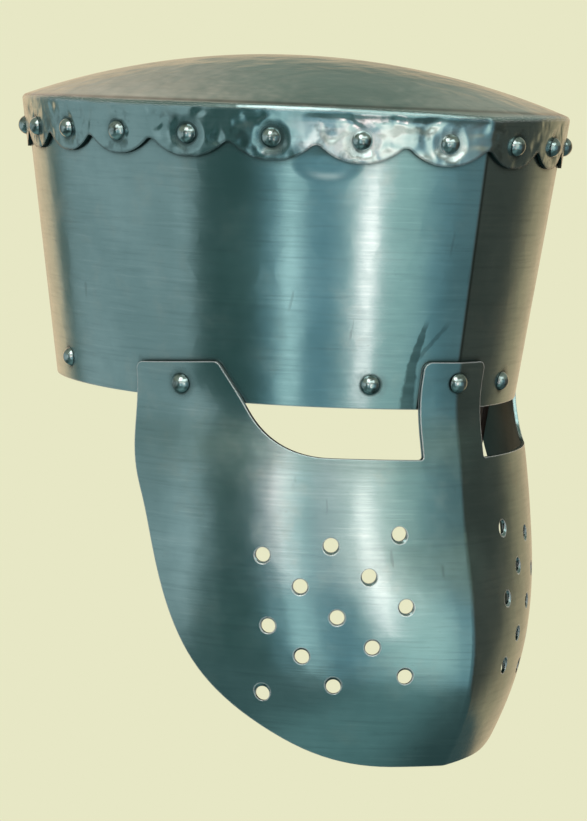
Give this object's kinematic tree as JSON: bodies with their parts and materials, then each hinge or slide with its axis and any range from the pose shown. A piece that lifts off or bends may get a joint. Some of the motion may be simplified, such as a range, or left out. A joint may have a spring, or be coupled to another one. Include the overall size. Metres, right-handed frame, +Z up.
{
  "type": "great helm",
  "caption": "Great helm with a keeled skull band, a scalloped dished crown plate, a pierced face plate with eye slots, a leather liner and a buckled chin strap.",
  "frame": {"origin": "centre of the plane of the skull band's lower rim, on the mirror plane at the band's widest line", "axes": "+Z up, -Y out of the face, +X to the wearer's left"},
  "size_m": [0.2352, 0.286, 0.3025],
  "materials": {
    "steel": "satin, finely ground",
    "rivet_steel": "domed and rubbed bright",
    "washer_steel": "plain",
    "headband_leather": "waxed",
    "tongue_leather": "matt",
    "patch_leather": "matt",
    "strap_leather": "waxed",
    "buckle_brass": "worn"
  },
  "bodies": {
    "helm": {"skull_band": "steel", "crown_plate": "steel", "face_plate": "steel", "crown_rivets": "rivet_steel", "nose_rivet": "rivet_steel", "temple_rivet_right": "rivet_steel", "temple_rivet_left": "rivet_steel", "liner_rivets": "rivet_steel", "seam_rivets": "rivet_steel", "liner_washers": "washer_steel", "liner_strip": "headband_leather", "liner_top": "patch_leather", "liner_tongue_front_right": "tongue_leather", "liner_tongue_front_left": "tongue_leather", "liner_tongue_temple_right": "tongue_leather", "liner_tongue_temple_left": "tongue_leather", "liner_tongue_side_right": "tongue_leather", "liner_tongue_side_left": "tongue_leather", "liner_tongue_rear_right": "tongue_leather", "liner_tongue_rear_left": "tongue_leather"},
    "strap_left": {"chin_strap_left": "strap_leather"},
    "strap_right": {"chin_strap_right": "strap_leather"},
    "frame": {"buckle_frame": "buckle_brass"},
    "prong": {"buckle_prong": "buckle_brass"}
  },
  "joints": [
    {"name": "strap_left_swing", "type": "hinge", "parent": "helm", "child": "strap_left", "pos_m": [0.09387, -0.04018, 0.0064], "axis": [0.9341, -0.3305, -0.1346], "range_deg": [-25, 25]},
    {"name": "strap_right_swing", "type": "hinge", "parent": "helm", "child": "strap_right", "pos_m": [-0.09194, -0.04526, 0.0064], "axis": [-0.9183, -0.3724, -0.1346], "range_deg": [-25, 25]},
    {"name": "buckle_fold", "type": "hinge", "parent": "strap_right", "child": "frame", "pos_m": [-0.07749, -0.0394, -0.0482], "axis": [0.3758, -0.9267, 0], "range_deg": [-10, 40]},
    {"name": "prong_open", "type": "hinge", "parent": "frame", "child": "prong", "pos_m": [-0.07749, -0.0394, -0.0482], "axis": [0.3758, -0.9267, 0], "range_deg": [-35, 0]}
  ]
}
